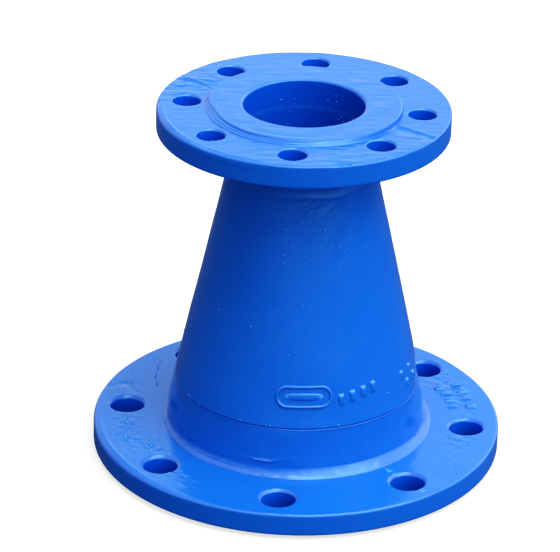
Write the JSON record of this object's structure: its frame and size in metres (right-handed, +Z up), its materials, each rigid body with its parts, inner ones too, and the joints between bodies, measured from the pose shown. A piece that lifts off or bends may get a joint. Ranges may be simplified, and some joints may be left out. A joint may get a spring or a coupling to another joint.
{
  "type": "flanged pipe taper",
  "caption": "Straight conical pipe taper with a wide bolted flange below and a narrower bolted flange above, blue epoxy coated.",
  "frame": {"origin": "centre of the large gasket face, at the bottom of the fitting", "axes": "+Z up the bore axis, from the large flange to the small flange; +X and +Y each through a bolt hole of both flanges"},
  "size_m": [0.285, 0.285, 0.2575],
  "materials": {
    "flange_coating": "thick glossy blue epoxy, brushed out on the flange faces",
    "body_coating": "thick glossy blue epoxy with small drips and nodules",
    "mark_coating": "thick glossy blue epoxy over raised casting"
  },
  "bodies": {
    "root": {"large_flange": "flange_coating", "large_collar": "body_coating", "taper_cone": "body_coating", "small_neck": "body_coating", "small_flange": "flange_coating", "front_mark": "mark_coating", "row_mark": "mark_coating", "side_mark": "mark_coating", "flange_mark": "mark_coating"}
  },
  "joints": []
}
